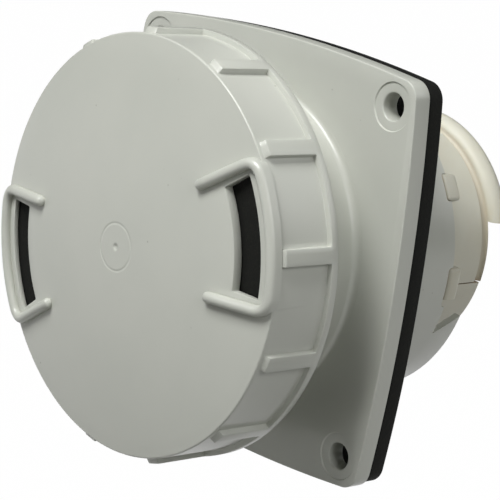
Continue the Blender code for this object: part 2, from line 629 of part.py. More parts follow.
def make_contact_retainer(look):
    """Disc behind the carrier that keeps the pins' shoulders in their seats."""
    radius = PIN_CIRCLE_RADIUS + TERMINAL_RADIUS + RETAINER_EDGE
    outline = [(0.0, RETAINER_FRONT), (radius, RETAINER_FRONT), (radius, RETAINER_BACK),
               (0.0, RETAINER_BACK)]
    retainer = turned("contact_retainer", outline, DISC_SEGMENTS)
    combine(retainer, pin_holes("retainer_holes", GAP, RETAINER_FRONT - SUNK,
                                RETAINER_BACK + SUNK, lambda index: TERMINAL_RADIUS), "DIFFERENCE")
    middle = rods("retainer_pilot_hole", [(0.0, 0.0)], PILOT_TERMINAL_RADIUS + GAP,
                  RETAINER_FRONT - SUNK, RETAINER_BACK + SUNK, ROD_SEGMENTS)
    combine(retainer, middle, "DIFFERENCE")
    screws = rods("retainer_screw_holes", retainer_screw_places(), SCREW_RADIUS + GAP,
                  RETAINER_FRONT - SUNK, RETAINER_BACK + SUNK, SCREW_SEGMENTS)
    combine(retainer, screws, "DIFFERENCE")
    return finish(retainer, look)


def make_pin(name, place, angle, sizes, screw_rows, look):
    """A turned pin with a round tip, a shoulder, and a terminal with a wire bore."""
    radius, reach, terminal, back, bore, bore_depth, screw_radius = sizes
    tip = NOSE_FRONT - reach
    seat = CARRIER_BACK - SHOULDER_LENGTH
    outline = [(0.0, tip)]
    outline += arc((radius * 0.4, tip + radius * 0.6), radius * 0.6, -90, 0, 3)
    outline += [(radius, seat), (terminal + SHOULDER_STEP, seat)]
    outline += [(terminal + SHOULDER_STEP, CARRIER_BACK), (terminal, CARRIER_BACK)]
    outline += [(terminal, back), (bore, back), (bore, back - bore_depth), (0.0, back - bore_depth)]
    pin = turned(name, outline, ROD_SEGMENTS)
    bm = bmesh.new()
    for y in screw_rows:
        made = bmesh.ops.create_cone(bm, cap_ends=True, segments=SCREW_SEGMENTS,
                                     radius1=screw_radius + GAP, radius2=screw_radius + GAP,
                                     depth=terminal)
        for vert in made["verts"]:
            outward, along, across = vert.co.z + terminal, vert.co.x, vert.co.y
            x, z = polar(outward, angle)
            vert.co = (x - across * math.sin(angle), y + along, z + across * math.cos(angle))
    bores = link(name + "_screw_bores", bm)
    combine(pin, bores, "DIFFERENCE")
    bores.parent = pin
    pin.location = (place[0], 0.0, place[1])
    return finish(pin, look)


def make_clamp_screw(name, place, angle, y, sizes, look):
    """A slotted screw that points from the terminal's side to its wire bore."""
    radius, length, terminal = sizes
    bm = bmesh.new()
    bmesh.ops.create_cone(bm, cap_ends=True, segments=SCREW_SEGMENTS, radius1=radius,
                          radius2=radius, depth=length)
    screw = link(name, bm)
    slot_bottom = length / 2 - SLOT_DEPTH
    slot = link(name + "_slot", bmesh.new())
    bm = bmesh.new()
    made = bmesh.ops.create_cube(bm, size=1.0)
    for vert in made["verts"]:
        vert.co = (vert.co.x * 3 * radius, vert.co.y * SLOT_WIDTH,
                   slot_bottom + (vert.co.z + 0.5) * 2 * SLOT_DEPTH)
    bm.to_mesh(slot.data)
    bm.free()
    combine(screw, slot, "DIFFERENCE")
    slot.parent = screw
    distance = terminal + CLAMP_SCREW_PROUD - length / 2
    x, z = polar(distance, angle)
    screw.rotation_euler = (0.0, math.pi / 2 - angle, 0.0)
    screw.location = (place[0] + x, y, place[1] + z)
    return finish(screw, look)


def make_head_screw(name, place, head_front, length, look):
    """A pan-head screw along the plug axis, with its head behind what it holds."""
    edge = SCREW_HEAD_HEIGHT / 3
    outline = [(0.0, head_front - length), (SCREW_RADIUS, head_front - length),
               (SCREW_RADIUS, head_front), (SCREW_HEAD_RADIUS, head_front),
               (SCREW_HEAD_RADIUS, head_front + SCREW_HEAD_HEIGHT - edge),
               (SCREW_HEAD_RADIUS - edge, head_front + SCREW_HEAD_HEIGHT),
               (0.0, head_front + SCREW_HEAD_HEIGHT)]
    screw = turned(name, outline, SCREW_SEGMENTS)
    slot = prism(name + "_slot", rectangle(-2 * SCREW_HEAD_RADIUS, 2 * SCREW_HEAD_RADIUS,
                                           -SLOT_WIDTH / 2, SLOT_WIDTH / 2),
                 head_front + SCREW_HEAD_HEIGHT - SLOT_DEPTH, 2 * SLOT_DEPTH)
    combine(screw, slot, "DIFFERENCE")
    slot.parent = screw
    screw.location = (place[0], 0.0, place[1])
    return finish(screw, look)


def cover_outline(with_rim):
    """Half section of the terminal cover: base in the skirt, flare, wall and end wall."""
    base_outer = SKIRT_BORE_RADIUS - GAP
    base_inner = base_outer - COVER_BASE_WALL
    shoulder = SKIRT_BACK + COVER_SHOULDER
    flare = COVER_FLARE
    end_front = COVER_BACK - END_WALL_THICKNESS
    outline = [(0.0, end_front), (COVER_BORE_RADIUS, end_front)]
    outline += [(COVER_BORE_RADIUS, shoulder + flare - COVER_WALL / 2)]
    outline += [(base_inner, shoulder - COVER_BASE_WALL)]
    outline += [(base_inner, CARRIER_BACK + GAP), (base_outer, CARRIER_BACK + GAP)]
    outline += [(base_outer, shoulder)]
    width = base_outer - COVER_RADIUS
    for point in arc((0.0, 0.0), 1.0, 270, 180, 4)[1:]:
        outline.append((base_outer + width * point[0], shoulder + flare * (1 + point[1])))
    if not with_rim:
        outline += [(COVER_RADIUS, COVER_BACK), (0.0, COVER_BACK)]
        return outline
    groove = COVER_BACK - GROOVE_WIDTH
    outline += [(COVER_RADIUS, groove), (COVER_RADIUS - GROOVE_DEPTH, groove + GROOVE_WIDTH / 2)]
    rim_outer = COVER_RADIUS + RIM_STEP
    bulge = RIM_LENGTH / 2
    outline += [(COVER_RADIUS, COVER_BACK)]
    for angle in (-60, -30, 0, 30, 60, 90):
        turn = math.radians(angle)
        outline.append((COVER_RADIUS + (rim_outer - COVER_RADIUS) * math.cos(turn),
                        COVER_BACK + bulge + bulge * math.sin(turn)))
    outline += [(COVER_BORE_RADIUS, RIM_BACK), (COVER_BORE_RADIUS, COVER_BACK)]
    outline += [(0.0, COVER_BACK)]
    return outline


def tab_blocks(bm, angles):
    """Snap tabs that lie behind the skirt's rim."""
    outer = SKIRT_BORE_RADIUS - GAP
    half = TAB_WIDTH / 2 / outer
    start = SKIRT_BACK + COVER_SHOULDER - SUNK
    for angle in angles:
        ring_sector(bm, outer - TAB_THICKNESS, outer, start, start + SUNK + TAB_LENGTH,
                    angle, half, 0.0, 2)


def make_terminal_covers(look):
    """Two half shells that meet at the seam, the upper one with a thick arched rim."""
    ports = pin_holes("wire_ports", 0.0, COVER_BACK - END_WALL_THICKNESS - SUNK,
                      COVER_BACK + SUNK, lambda index: PORT_RADIUS)
    pilot_port = rods("pilot_port", [(0.0, 0.0)], PILOT_PORT_RADIUS,
                      COVER_BACK - END_WALL_THICKNESS - SUNK, COVER_BACK + SUNK, ROD_SEGMENTS)
    seam_upper = SEAM_HEIGHT + GAP / 2
    seam_lower = SEAM_HEIGHT - GAP / 2
    tab_turn = TAB_WIDTH / 2 / SKIRT_BORE_RADIUS
    beside_seam = math.asin(seam_upper / SKIRT_BORE_RADIUS) + tab_turn + math.radians(1.0)
    high = math.radians(32.5)
    low = math.radians(-58.0)

    upper = turned("upper_terminal_cover", cover_outline(True), RING_SEGMENTS)
    bm = bmesh.new()
    tab_blocks(bm, [beside_seam, high, math.pi - high, math.pi - beside_seam])
    combine(upper, link("upper_tabs", bm), "UNION")
    lower = turned("lower_terminal_cover", cover_outline(False), RING_SEGMENTS)
    bm = bmesh.new()
    tab_blocks(bm, [low, math.pi - low])
    combine(lower, link("lower_tabs", bm), "UNION")

    wide = 2 * SKIRT_RADIUS
    below = prism("below_seam", rectangle(-wide, wide, -wide, seam_upper),
                  CARRIER_BACK - SUNK, RIM_BACK)
    above = prism("above_seam", rectangle(-wide, wide, seam_lower, wide),
                  CARRIER_BACK - SUNK, RIM_BACK)
    rim_ends = prism("rim_ends", rectangle(-wide, wide, -wide, RIM_CUT_HEIGHT),
                     COVER_BACK, 2 * RIM_LENGTH)
    combine(upper, below, "DIFFERENCE")
    combine(upper, rim_ends, "DIFFERENCE")
    combine(lower, above, "DIFFERENCE")
    for cover in (upper, lower):
        combine(cover, ports, "DIFFERENCE")
    combine(upper, pilot_port, "DIFFERENCE")
    finish(upper, look)
    finish(lower, look)


def make_pins_and_clamp_screws(brass, steel):
    rows = [TERMINAL_BACK - CLAMP_SCREW_END - CLAMP_SCREW_PITCH * row for row in (0, 1)]
    for index, name in enumerate(PIN_NAMES):
        angle = pin_angle(index)
        place = polar(PIN_CIRCLE_RADIUS, angle)
        sizes = (pin_radius(index), PIN_REACH, TERMINAL_RADIUS, TERMINAL_BACK,
                 WIRE_BORE_RADIUS, WIRE_BORE_DEPTH, CLAMP_SCREW_RADIUS)
        make_pin(name, place, angle, sizes, rows, brass)
        for row, y in enumerate(rows, start=1):
            make_clamp_screw(f"{name}_clamp_screw_{row}", place, angle, y,
                             (CLAMP_SCREW_RADIUS, CLAMP_SCREW_LENGTH, TERMINAL_RADIUS), steel)
    pilot_back = CARRIER_BACK + PILOT_TERMINAL_LENGTH
    pilot_row = pilot_back - PILOT_WIRE_BORE_DEPTH / 2
    sizes = (PILOT_PIN_RADIUS, PILOT_PIN_REACH, PILOT_TERMINAL_RADIUS, pilot_back,
             PILOT_WIRE_BORE_RADIUS, PILOT_WIRE_BORE_DEPTH, PILOT_SCREW_RADIUS)
    upward = math.pi / 2
    make_pin("pilot_pin", (0.0, 0.0), upward, sizes, [pilot_row], brass)
    make_clamp_screw("pilot_clamp_screw", (0.0, 0.0), upward, pilot_row,
                     (PILOT_SCREW_RADIUS, PILOT_SCREW_LENGTH, PILOT_TERMINAL_RADIUS), steel)


def make_fixing_screws(steel):
    for index, place in enumerate(carrier_screw_places(), start=1):
        length = RETAINER_FRONT - WEB_FRONT - GAP
        make_head_screw(f"carrier_screw_{index}", place, CARRIER_BACK + GAP, length, steel)
    for index, place in enumerate(retainer_screw_places(), start=1):
        length = RETAINER_THICKNESS + RETAINER_SCREW_DEPTH
        make_head_screw(f"retainer_screw_{index}", place, RETAINER_BACK + GAP, length, steel)


def main():
    for obj in list(bpy.data.objects):
        bpy.data.objects.remove(obj)
    grey = material("light_grey_plastic", (0.56, 0.57, 0.53), 0.42)
    cream = material("natural_plastic", (0.72, 0.71, 0.60), 0.45)
    black = material("black_rubber", (0.015, 0.015, 0.013), 0.8)
    brass = material("brass", (0.72, 0.52, 0.24), 0.3, 1.0)
    steel = material("zinc_plated_steel", (0.62, 0.62, 0.6), 0.35, 1.0)

    make_flange_plate(grey)
    make_flange_housing(grey)
    make_rear_skirt(grey)
    make_flange_gasket(black)
    make_protective_cap(grey)
    washer("cap_seal", COLLAR_BORE_RADIUS + SEAL_INNER_STEP, CAP_BORE_RADIUS - GAP,
           SEAL_FRONT, SEAL_BACK, RING_SEGMENTS, black)
    make_contact_carrier(cream)
    washer("carrier_seal", CARRIER_RADIUS - CARRIER_SEAL_WIDTH, CARRIER_RADIUS,
           CARRIER_SEAL_FRONT, CARRIER_SEAL_FRONT + CARRIER_SEAL_THICKNESS, DISC_SEGMENTS, black)
    make_contact_retainer(cream)
    make_pins_and_clamp_screws(brass, steel)
    make_fixing_screws(steel)
    make_terminal_covers(cream)


main()
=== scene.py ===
import json
import math
import bpy
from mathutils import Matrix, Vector


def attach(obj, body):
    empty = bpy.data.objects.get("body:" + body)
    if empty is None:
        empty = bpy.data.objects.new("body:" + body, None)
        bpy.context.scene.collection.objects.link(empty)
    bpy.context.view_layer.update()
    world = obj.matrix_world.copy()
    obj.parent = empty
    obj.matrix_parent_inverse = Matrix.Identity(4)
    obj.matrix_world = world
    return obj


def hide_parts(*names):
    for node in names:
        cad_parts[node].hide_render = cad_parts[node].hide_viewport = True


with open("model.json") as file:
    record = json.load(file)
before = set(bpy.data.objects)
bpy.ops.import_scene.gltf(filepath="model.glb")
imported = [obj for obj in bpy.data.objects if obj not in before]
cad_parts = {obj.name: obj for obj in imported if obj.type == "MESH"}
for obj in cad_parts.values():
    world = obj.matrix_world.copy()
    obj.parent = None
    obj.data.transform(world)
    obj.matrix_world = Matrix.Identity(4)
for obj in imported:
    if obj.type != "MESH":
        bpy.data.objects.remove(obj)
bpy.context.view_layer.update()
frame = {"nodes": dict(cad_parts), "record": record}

# All sizes below are millimetres and degrees. The plug axis is Y, the panel's face is y = 0,
# and an angle runs from +X towards +Z, as it is seen from the front.
mm = 0.001
near = 0.1       # how close, in millimetres, counts as on an edge
farOut = 60      # past every edge of the object


def deselectAll():
    if bpy.context.object and bpy.context.object.mode != "OBJECT":
        bpy.ops.object.mode_set(mode="OBJECT")
    bpy.ops.object.select_all(action="DESELECT")


def activate(obj):
    deselectAll()
    obj.select_set(True)
    bpy.context.view_layer.objects.active = obj


def drawOutline(name, points, filled=False):
    # one vertex that is extruded from point to point
    deselectAll()
    bpy.ops.mesh.primitive_plane_add(size=mm)
    obj = bpy.context.object
    obj.name = name
    obj.data.name = name
    spots = [Vector(point) * mm for point in points]
    bpy.ops.object.mode_set(mode="EDIT")
    bpy.ops.mesh.select_mode(type="VERT")
    bpy.ops.mesh.select_all(action="SELECT")
    bpy.ops.mesh.merge(type="CENTER")
    bpy.ops.transform.translate(value=spots[0])
    for before, after in zip(spots, spots[1:]):
        bpy.ops.mesh.extrude_region_move(TRANSFORM_OT_translate={"value": after - before})
    if filled:
        bpy.ops.mesh.select_all(action="SELECT")
        bpy.ops.mesh.edge_face_add()
    bpy.ops.object.mode_set(mode="OBJECT")
    return obj


def arcPoints(centre, radius, start, end, steps):
    spots = []
    for step in range(steps + 1):
        turn = math.radians(start + (end - start) * step / steps)
        spots.append((centre[0] + radius * math.cos(turn), centre[1] + radius * math.sin(turn)))
    return spots


def onPlane(profile):
    # radius and y of a profile, as points of the plane that is spun
    return [(radius, y, 0) for radius, y in profile]


def tidyMesh(obj):
    activate(obj)
    bpy.ops.object.mode_set(mode="EDIT")
    bpy.ops.mesh.select_all(action="SELECT")
    bpy.ops.mesh.remove_doubles(threshold=0.002 * mm)
    bpy.ops.mesh.normals_make_consistent(inside=False)
    bpy.ops.object.mode_set(mode="OBJECT")


def spinRound(name, profile, steps, startAngle=0.0, closed=False):
    points = onPlane(profile)
    if closed:
        points = points + points[:1]
    obj = drawOutline(name, points)
    bpy.ops.object.mode_set(mode="EDIT")
    bpy.ops.mesh.select_all(action="SELECT")
    bpy.ops.mesh.spin(steps=steps, angle=2 * math.pi, center=(0, 0, 0), axis=(0, 1, 0))
    bpy.ops.object.mode_set(mode="OBJECT")
    tidyMesh(obj)
    turnAboutAxis(obj, startAngle)
    return obj


def turnAboutAxis(obj, angle):
    activate(obj)
    obj.rotation_euler.y = -math.radians(angle)
    bpy.ops.object.transform_apply(location=False, rotation=True, scale=False)


def thicken(obj, offset):
    # pulls a flat face out to a solid
    activate(obj)
    bpy.ops.object.mode_set(mode="EDIT")
    bpy.ops.mesh.select_all(action="SELECT")
    bpy.ops.mesh.extrude_region_move(TRANSFORM_OT_translate={"value": Vector(offset) * mm})
    bpy.ops.object.mode_set(mode="OBJECT")
    tidyMesh(obj)


def polarPlace(point):
    # radius, angle and y of a point
    angle = math.degrees(math.atan2(point.z, point.x)) % 360
    return math.hypot(point.x, point.z) / mm, angle, point.y / mm


def awayFrom(angle, middle):
    return abs((angle - middle + 180) % 360 - 180)


def selectFaces(obj, wanted):
    activate(obj)
    for vert in obj.data.vertices:
        vert.select = False
    for edge in obj.data.edges:
        edge.select = False
    for face in obj.data.polygons:
        face.select = wanted(*polarPlace(face.center))
    bpy.ops.object.mode_set(mode="EDIT")
    bpy.ops.mesh.select_mode(type="FACE")


def selectVerts(obj, wanted):
    activate(obj)
    for face in obj.data.polygons:
        face.select = False
    for edge in obj.data.edges:
        edge.select = False
    for vert in obj.data.vertices:
        vert.select = wanted(*polarPlace(vert.co))
    bpy.ops.object.mode_set(mode="EDIT")
    bpy.ops.mesh.select_mode(type="VERT")


def pushOut(obj, wanted, factor):
    # extrudes faces away from the plug axis
    selectFaces(obj, wanted)
    bpy.ops.mesh.extrude_region_move(TRANSFORM_OT_translate={"value": (0, 0, 0)})
    bpy.ops.transform.resize(value=(factor, 1, factor), center_override=(0, 0, 0))
    bpy.ops.object.mode_set(mode="OBJECT")


def applyModifier(obj, kind, **settings):
    activate(obj)
    modifier = obj.modifiers.new(kind.lower(), kind)
    for key, value in settings.items():
        setattr(modifier, key, value)
    bpy.ops.object.modifier_apply(modifier=modifier.name)


def combine(obj, tool, operation):
    applyModifier(obj, "BOOLEAN", operation=operation, solver="EXACT", object=tool)
    bpy.data.objects.remove(tool)


def softenEdges(obj, width, segments=2, angle=35):
    applyModifier(obj, "BEVEL", width=width * mm, segments=segments, limit_method="ANGLE",
                  angle_limit=math.radians(angle), harden_normals=False,
                  miter_outer="MITER_ARC", use_clamp_overlap=True)


def smoothShade(obj, angle=32):
    activate(obj)
    bpy.ops.object.shade_smooth_by_angle(angle=math.radians(angle))


def rod(name, x, z, radius, front, back, steps=48):
    deselectAll()
    bpy.ops.mesh.primitive_cylinder_add(vertices=steps, radius=radius * mm,
                                        depth=(back - front) * mm,
                                        location=(x * mm, (front + back) / 2 * mm, z * mm),
                                        rotation=(math.pi / 2, 0, 0))
    obj = bpy.context.object
    obj.name = name
    bpy.ops.object.transform_apply(location=True, rotation=True, scale=True)
    return obj


def block(name, low, high):
    deselectAll()
    middle = [(a + b) / 2 * mm for a, b in zip(low, high)]
    bpy.ops.mesh.primitive_cube_add(size=1, location=middle)
    obj = bpy.context.object
    obj.name = name
    obj.scale = [(b - a) * mm for a, b in zip(low, high)]
    bpy.ops.object.transform_apply(location=True, rotation=True, scale=True)
    return obj


def finishPiece(obj, name, look, body, *nodes):
    obj.name = name
    obj.data.name = name
    obj.data.materials.clear()
    obj.data.materials.append(look)
    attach(obj, body)
    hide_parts(*nodes)
    print("finished", name, len(obj.data.polygons), "faces")


def linearColour(code):
    values = [int(code[i:i + 2], 16) / 255 for i in (1, 3, 5)]
    return [v / 12.92 if v <= 0.04045 else ((v + 0.055) / 1.055) ** 2.4 for v in values] + [1.0]


def addNode(tree, kind, settings=None, links=None):
    node = tree.nodes.new(kind)
    for key, value in (settings or {}).items():
        if isinstance(key, str) and hasattr(node, key):
            setattr(node, key, value)
        else:
            node.inputs[key].default_value = value
    for key, source in (links or {}).items():
        tree.links.new(source, node.inputs[key])
    return node


def emptyTree(owner):
    # the node tree of a material or a world, without its first nodes
    owner.use_nodes = True
    owner.node_tree.nodes.clear()
    return owner.node_tree


def newMaterial(name):
    material = bpy.data.materials.new(name)
    tree = emptyTree(material)
    shader = addNode(tree, "ShaderNodeBsdfPrincipled")
    addNode(tree, "ShaderNodeOutputMaterial", None, {"Surface": shader.outputs["BSDF"]})
    place = addNode(tree, "ShaderNodeTexCoord").outputs["Object"]
    return material, tree, shader, place


def perMm(size):
    # the scale of a pattern whose features are this many millimetres wide
    return 1 / (size * mm)


# a node that mixes colours has its factor at input 0, its colours at 6 and 7 and its result at 2
def mouldedPlastic(name, look):
    # glass-filled polyamide from a spark-eroded tool: a satin grain, slightly uneven tone,
    # fine dark specks, and a dust-coloured darkening painted into corners and creases: painted shade as
    # well as dust
    material, tree, shader, place = newMaterial(name)
    dirtAndShade = linearColour(look["dirtAndShadeColour"])
    clouds = addNode(tree, "ShaderNodeTexNoise",
                     {"Scale": perMm(look["cloudSize"]), "Detail": 3.0}, {"Vector": place})
    cloudShare = addNode(tree, "ShaderNodeMapRange",
                         {"From Min": look["cloudRange"][0], "From Max": look["cloudRange"][1],
                          "To Max": look["cloudDepth"]}, {"Value": clouds.outputs["Fac"]})
    toned = addNode(tree, "ShaderNodeMix",
                    {"data_type": "RGBA", 6: linearColour(look["colour"]),
                     7: linearColour(look["shadeColour"])}, {0: cloudShare.outputs["Result"]})
    # painted shade: the occlusion mask darkens corners, creases and grooves towards the dirt-coloured tint
    corners = addNode(tree, "ShaderNodeAmbientOcclusion",
                      {"samples": 8, "inside": False, "Distance": look["cornerReach"] * mm})
    cornerShadeShare = addNode(tree, "ShaderNodeMapRange",
                          {"From Min": look["cornerRange"][0], "From Max": look["cornerRange"][1],
                           "To Max": look["cornerShade"]}, {"Value": corners.outputs["AO"]})
    cornerShaded = addNode(tree, "ShaderNodeMix", {"data_type": "RGBA", 7: dirtAndShade},
                    {0: cornerShadeShare.outputs["Result"], 6: toned.outputs[2]})
    speckCells = addNode(tree, "ShaderNodeTexVoronoi", {"Scale": perMm(look["speckSpacing"])},
                         {"Vector": place})
    speckShape = addNode(tree, "ShaderNodeMapRange", {"From Min": look["speckRadius"], "From Max": 0.0},
                         {"Value": speckCells.outputs["Distance"]})
    speckPatches = addNode(tree, "ShaderNodeTexNoise", {"Scale": perMm(look["speckPatch"])},
                           {"Vector": place})
    speckChance = addNode(tree, "ShaderNodeMapRange",
                          {"From Min": look["speckRange"][0], "From Max": look["speckRange"][1],
                           "To Max": look["speckDepth"]}, {"Value": speckPatches.outputs["Fac"]})
    speckShare = addNode(tree, "ShaderNodeMath", {"operation": "MULTIPLY"},
                         {0: speckShape.outputs["Result"], 1: speckChance.outputs["Result"]})
    specked = addNode(tree, "ShaderNodeMix", {"data_type": "RGBA", 7: dirtAndShade},
                      {0: speckShare.outputs[0], 6: cornerShaded.outputs[2]})
    tree.links.new(specked.outputs[2], shader.inputs["Base Color"])
    wear = addNode(tree, "ShaderNodeTexNoise", {"Scale": perMm(look["wearSize"]), "Detail": 4.0},
                   {"Vector": place})
    rough = addNode(tree, "ShaderNodeMapRange",
                    {"To Min": look["roughness"][0], "To Max": look["roughness"][1]},
                    {"Value": wear.outputs["Fac"]})
    tree.links.new(rough.outputs["Result"], shader.inputs["Roughness"])
    grain = addNode(tree, "ShaderNodeTexNoise",
                    {"Scale": perMm(look["grainSize"]), "Detail": 3.0, "Roughness": 0.6},
                    {"Vector": place})
    grainBump = addNode(tree, "ShaderNodeBump",
                        {"Strength": look["grainDepth"], "Distance": look["grainHeight"] * mm},
                        {"Height": grain.outputs["Fac"]})
    waves = addNode(tree, "ShaderNodeTexNoise", {"Scale": perMm(look["waveSize"]), "Detail": 1.0},
                    {"Vector": place})
    waveBump = addNode(tree, "ShaderNodeBump",
                       {"Strength": look["waveDepth"], "Distance": look["waveHeight"] * mm},
                       {"Height": waves.outputs["Fac"], "Normal": grainBump.outputs["Normal"]})
    tree.links.new(waveBump.outputs["Normal"], shader.inputs["Normal"])
    shader.inputs["IOR"].default_value = look["ior"]
    shader.inputs["Subsurface Weight"].default_value = look["glow"]
    shader.inputs["Subsurface Radius"].default_value = [reach * mm for reach in look["glowReach"]]
    shader.inputs["Subsurface Scale"].default_value = 1.0
    return material


greyLook = {
    "colour": "#C9CBC2", "shadeColour": "#C2C5BC", "dirtAndShadeColour": "#6B6857",
    "cloudSize": 26, "cloudRange": (0.35, 0.7), "cloudDepth": 0.6,
    # painted shade in corners and creases: the occlusion reach, range and strength of the darkening
    "cornerReach": 1.6, "cornerRange": (0.75, 0.15), "cornerShade": 0.35,
    "speckSpacing": 5.0, "speckRadius": 0.07, "speckDepth": 0.6,
    "speckPatch": 11.0, "speckRange": (0.54, 0.60),
    "wearSize": 10.4, "roughness": (0.28, 0.31),
    "grainSize": 0.30, "grainDepth": 0.10, "grainHeight": 0.03,   # drawn coarser than the real grain
    "waveSize": 22, "waveDepth": 0.02, "waveHeight": 1.0,
    "ior": 1.53, "glow": 0.0, "glowReach": (1.2, 1.0, 0.7),
}
naturalLook = {
    "colour": "#D6D5C6", "shadeColour": "#CDC9B6", "dirtAndShadeColour": "#A0855C",
    "cloudSize": 18, "cloudRange": (0.35, 0.7), "cloudDepth": 0.8,
    # painted shade in the groove and corners, laid in a brown dirt tint: painted shade as well as dirt
    "cornerReach": 3.0, "cornerRange": (0.85, 0.35), "cornerShade": 0.8,
    "speckSpacing": 8.0, "speckRadius": 0.04, "speckDepth": 0.5,
    "speckPatch": 17.6, "speckRange": (0.54, 0.60),
    "wearSize": 7.2, "roughness": (0.38, 0.55),
    "grainSize": 0.4, "grainDepth": 0.18, "grainHeight": 0.03,
    "waveSize": 9, "waveDepth": 0.03, "waveHeight": 1.0,
    "ior": 1.53, "glow": 0.12, "glowReach": (1.2, 1.0, 0.7),
}
greyPolyamide = mouldedPlastic("lightGreyPolyamide", greyLook)
naturalPolyamide = mouldedPlastic("naturalPolyamide", naturalLook)


rubberLook = {
    "colour": "#11120F", "dustColour": "#3A392F",
    "dustSize": 1.375, "dustRange": (0.5, 0.82), "dustDepth": 0.2,
    "poreSize": 0.55, "poreDepth": 0.6, "poreHeight": 0.12,
    "grainSize": 0.22, "grainDepth": 0.4, "grainHeight": 0.05,
    "roughness": 0.88, "shine": 0.25, "ior": 1.5,
}


def mouldedRubber(name, look):
    # black foam rubber: open pores and a little pale dust make it greyer than black
    material, tree, shader, place = newMaterial(name)
    dust = addNode(tree, "ShaderNodeTexNoise",
                   {"Scale": perMm(look["dustSize"]), "Detail": 5.0, "Roughness": 0.7}, {"Vector": place})
    dustShare = addNode(tree, "ShaderNodeMapRange",
                        {"From Min": look["dustRange"][0], "From Max": look["dustRange"][1],
                         "To Max": look["dustDepth"]}, {"Value": dust.outputs["Fac"]})
    colour = addNode(tree, "ShaderNodeMix",
                     {"data_type": "RGBA", 6: linearColour(look["colour"]),
                      7: linearColour(look["dustColour"])}, {0: dustShare.outputs["Result"]})
    tree.links.new(colour.outputs[2], shader.inputs["Base Color"])
    pores = addNode(tree, "ShaderNodeTexVoronoi", {"Scale": perMm(look["poreSize"])}, {"Vector": place})
    poreBump = addNode(tree, "ShaderNodeBump",
                       {"Strength": look["poreDepth"], "Distance": look["poreHeight"] * mm},
                       {"Height": pores.outputs["Distance"]})
    grain = addNode(tree, "ShaderNodeTexNoise", {"Scale": perMm(look["grainSize"]), "Detail": 3.0},
                    {"Vector": place})
    grainBump = addNode(tree, "ShaderNodeBump",
                        {"Strength": look["grainDepth"], "Distance": look["grainHeight"] * mm},
                        {"Height": grain.outputs["Fac"], "Normal": poreBump.outputs["Normal"]})
    tree.links.new(grainBump.outputs["Normal"], shader.inputs["Normal"])
    shader.inputs["Roughness"].default_value = look["roughness"]
    shader.inputs["Specular IOR Level"].default_value = look["shine"]
    shader.inputs["IOR"].default_value = look["ior"]
    return material


blackRubber = mouldedRubber("blackFoamRubber", rubberLook)


def turnedMetal(name, look):
    # turned rod: fine lathe rings across its length and a slightly uneven oxide tone
    material, tree, shader, place = newMaterial(name)
    clouds = addNode(tree, "ShaderNodeTexNoise", {"Scale": perMm(look["cloudSize"]), "Detail": 3.0},
                     {"Vector": place})
    cloudShare = addNode(tree, "ShaderNodeMapRange",
                         {"From Min": look["cloudRange"][0], "From Max": look["cloudRange"][1]},
                         {"Value": clouds.outputs["Fac"]})
    colour = addNode(tree, "ShaderNodeMix",
                     {"data_type": "RGBA", 6: linearColour(look["colour"]),
                      7: linearColour(look["dullColour"])}, {0: cloudShare.outputs["Result"]})
    tree.links.new(colour.outputs[2], shader.inputs["Base Color"])
    rings = addNode(tree, "ShaderNodeTexWave",
                    {"wave_type": "BANDS", "bands_direction": "Y", "Scale": perMm(look["ringSpacing"]) / 6,
                     "Distortion": 0.6, "Detail": 2.0}, {"Vector": place})
    cuts = addNode(tree, "ShaderNodeBump",
                   {"Strength": look["ringDepth"], "Distance": look["ringHeight"] * mm},
                   {"Height": rings.outputs["Fac"]})
    tree.links.new(cuts.outputs["Normal"], shader.inputs["Normal"])
    wear = addNode(tree, "ShaderNodeTexNoise", {"Scale": perMm(look["wearSize"]), "Detail": 4.0},
                   {"Vector": place})
    rough = addNode(tree, "ShaderNodeMapRange",
                    {"To Min": look["roughness"][0], "To Max": look["roughness"][1]},
                    {"Value": wear.outputs["Fac"]})
    tree.links.new(rough.outputs["Result"], shader.inputs["Roughness"])
    shader.inputs["Metallic"].default_value = 1.0
    return material


brass = turnedMetal("turnedBrass", {
    "colour": "#D9B36A", "dullColour": "#B98E48", "cloudSize": 5, "cloudRange": (0.3, 0.75),
    "ringSpacing": 0.12, "ringDepth": 0.25, "ringHeight": 0.01,
    "wearSize": 1.5, "roughness": (0.22, 0.38)})
zincSteel = turnedMetal("zincPlatedSteel", {
    "colour": "#C8C9C6", "dullColour": "#A9ABA8", "cloudSize": 3, "cloudRange": (0.3, 0.75),
    "ringSpacing": 0.1, "ringDepth": 0.25, "ringHeight": 0.01,
    "wearSize": 0.9, "roughness": (0.25, 0.45)})
print("materials made")


cap = {
    "face": -47.7, "back": -29.0, "discThickness": 2.6, "sealSeat": -47.05, "dome": 4.9,
    "outer": 53.4, "bore": 49.9, "edgeRound": 0.5,
    "lip": 54.9, "lipThickness": 2.1,
    "innerRings": (0, 6, 12, 18, 24, 30, 36), "windowRing": 45, "outerRing": 50.8,
    "ribs": 13, "ribAngle": 11.8, "stepsPerPitch": 19, "ribSteps": 3,
    "ribStart": 1.1, "ribSlope": 0.7,
    "windowInner": 41.0, "windowOuter": 48.8, "windowAngle": 17.5, "windowHalf": 17.4,
    "loopWidth": 2.8, "loopHeight": 2.0, "loopDepth": 1.2, "tipSize": 0.03,
    "barRadius": 52.7, "loopMargin": 2.6,
    "armLength": 19.4, "armSpread": 14.8, "corner": 4.0,
    "camInner": 41.7, "camFront": -34.5, "camThickness": 3.2, "camHalf": 16.0,
    "camRoot": 1.2, "lead": 3.2,
    "edgeSoftness": 0.28,
    # radius and depth across the moulding mark: a dimple, a flat, a fine ring
    "gateMark": ((0, 0.35), (0.5, 0.3), (0.9, 0.0), (1.3, 0.0), (5.4, 0.0), (5.7, 0.0),
                 (6.0, 0.16), (6.3, 0.0), (6.6, 0.0)),
}


def domeAt(radius):
    # how far the disc swells out in front of its edge
    return cap["dome"] * (1 - (radius / cap["outer"]) ** 2)


